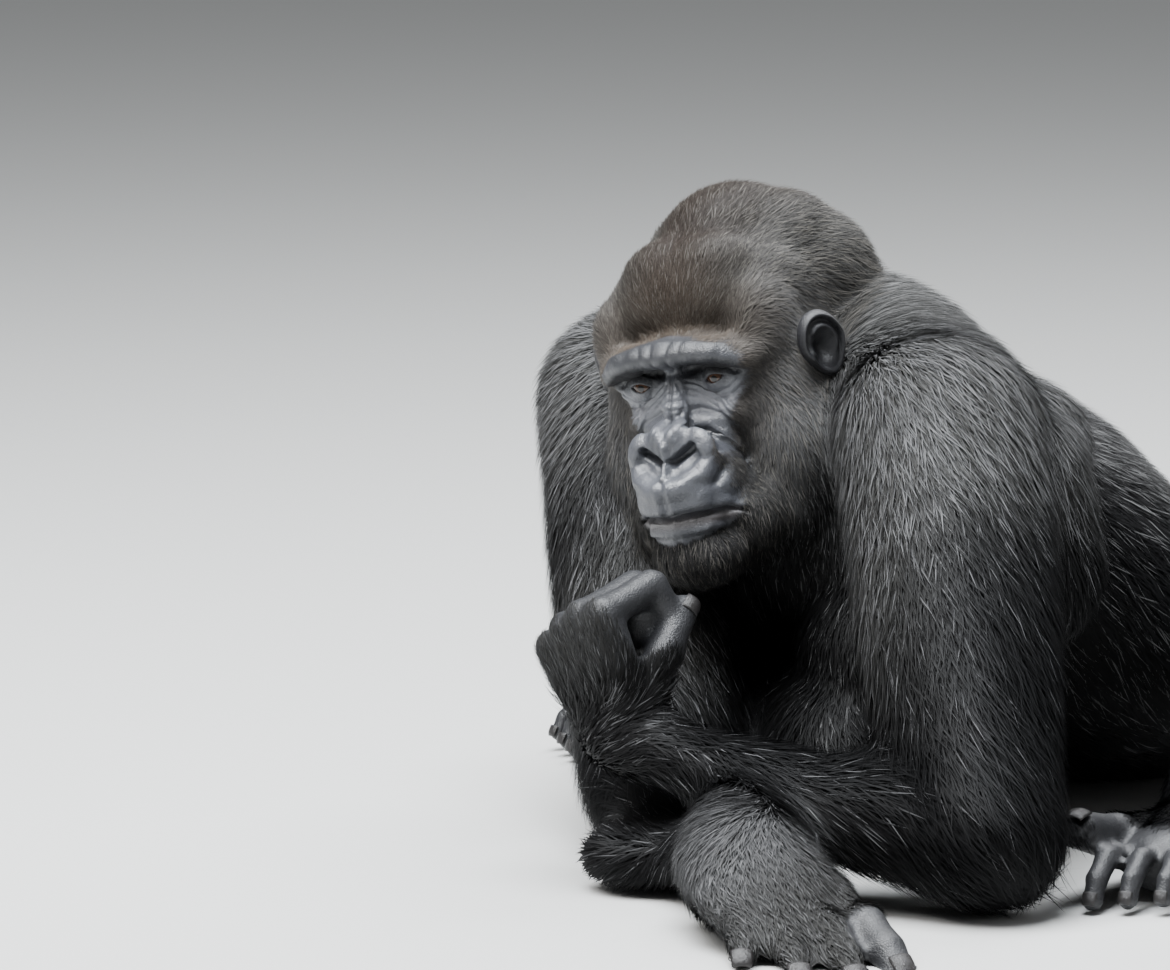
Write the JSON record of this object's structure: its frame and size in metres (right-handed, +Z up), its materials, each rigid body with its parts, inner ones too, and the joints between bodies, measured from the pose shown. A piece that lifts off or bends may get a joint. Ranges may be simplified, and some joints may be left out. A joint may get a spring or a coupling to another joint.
{
  "type": "gorilla",
  "caption": "Still life-size model of a silverback western lowland gorilla, crouched on its belly and leaning on both elbows, chin over the left hand",
  "frame": {"origin": "on the floor, in the middle of the flat that the belly rests on", "axes": "+Z up, the animal faces -Y, its left side is +X"},
  "size_m": [1.0963, 1.1366, 0.5772],
  "materials": {
    "coat_brown": "short coarse hair, reddish brown on the crown",
    "coat_grey": "coarse hair, speckled silver grey on the back",
    "coat_black": "long coarse black hair",
    "bare_skin": "bare wrinkled dark grey skin",
    "eye_brown": "wet dark brown eye"
  },
  "bodies": {
    "root": {"ear_left": "bare_skin", "ear_right": "bare_skin", "eye_left": "eye_brown", "eye_right": "eye_brown", "foot_left": "bare_skin", "foot_right": "bare_skin", "forearm_left": "coat_black", "forearm_right": "coat_black", "hand_left": "bare_skin", "hand_right": "bare_skin", "head": "coat_brown", "neck": "coat_grey", "shin_left": "coat_black", "shin_right": "coat_black", "thigh_left": "coat_black", "thigh_right": "coat_black", "trunk": "coat_grey", "upper_arm_left": "coat_black", "upper_arm_right": "coat_black"}
  },
  "joints": []
}
